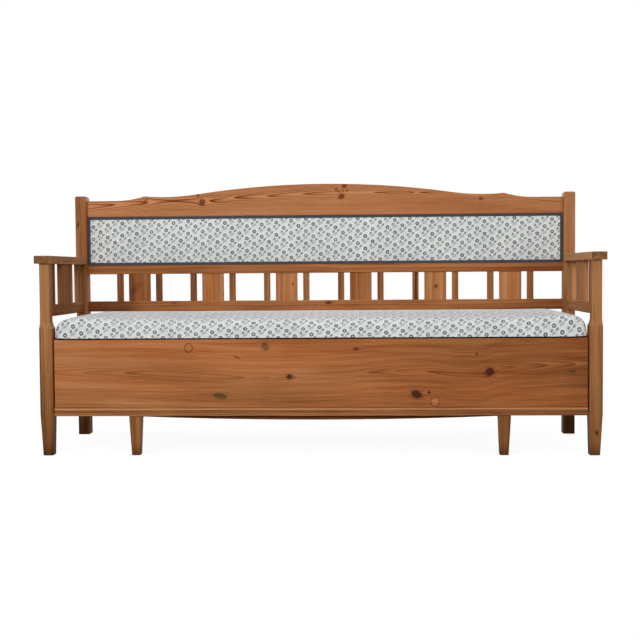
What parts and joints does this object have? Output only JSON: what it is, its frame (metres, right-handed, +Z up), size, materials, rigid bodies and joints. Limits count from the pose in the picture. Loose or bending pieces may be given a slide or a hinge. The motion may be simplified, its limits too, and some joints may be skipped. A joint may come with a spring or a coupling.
{
  "type": "pull-out bench bed",
  "caption": "Pine box bench with a slatted and padded back; the front slides out on its own legs to widen the slatted base into a bed, and the padded seat lifts off.",
  "frame": {"origin": "on the floor, under the middle of the bench's overall box", "axes": "+X along the bench to the right of a person who faces its front, -Y out of the front, +Z up"},
  "size_m": [1.976, 0.566, 0.981],
  "materials": {
    "pine": "aged waxed pine",
    "printed_cotton": "matt printed cotton",
    "navy_braid": "woven gimp braid"
  },
  "bodies": {
    "carcass": {"rear_post_left": "pine", "rear_post_right": "pine", "front_post_left": "pine", "front_post_right": "pine", "crest_rail": "pine", "middle_rail": "pine", "lower_rail": "pine", "back_board": "pine", "back_pad": "printed_cotton", "back_braid": "navy_braid", "armrest_left": "pine", "armrest_right": "pine", "arm_rail_left": "pine", "arm_rail_right": "pine", "arm_slat_front_left": "pine", "arm_slat_front_right": "pine", "arm_slat_wide_left": "pine", "arm_slat_wide_right": "pine", "arm_slat_rear_left": "pine", "arm_slat_rear_right": "pine", "end_panel_left": "pine", "end_panel_right": "pine", "box_back": "pine", "rear_bearer": "pine", "front_stretcher": "pine", "runner_left": "pine", "runner_right": "pine", "seat_ledge_left": "pine", "seat_ledge_right": "pine", "seat_ledge_rear": "pine", "wide_slat_1": "pine", "wide_slat_2": "pine", "wide_slat_3": "pine", "wide_slat_4": "pine", "wide_slat_5": "pine", "wide_slat_6": "pine", "narrow_slats_1": "pine", "narrow_slats_2": "pine", "narrow_slats_3": "pine", "narrow_slats_4": "pine", "narrow_slats_5": "pine", "narrow_slats_6": "pine", "fixed_bed_slats": "pine", "rail_pegs": "pine"},
    "pullout": {"front_panel": "pine", "front_moulding": "pine", "pull_leg_left": "pine", "pull_leg_right": "pine", "bowed_bearer": "pine", "outer_bearer_left": "pine", "outer_bearer_right": "pine", "drawer_side_left": "pine", "drawer_side_right": "pine", "corner_blocks": "pine", "sliding_bed_slats": "pine", "rear_batten": "pine"},
    "seat": {"seat_board": "pine", "seat_cleats": "pine", "seat_pad": "printed_cotton"}
  },
  "joints": [
    {"name": "pullout_slide", "type": "slide", "parent": "carcass", "child": "pullout", "axis": [0, -1, 0], "range_m": [0, 0.39]},
    {"name": "seat_lift", "type": "slide", "parent": "carcass", "child": "seat", "axis": [0, 0, 1], "range_m": [0, 0.3]}
  ]
}
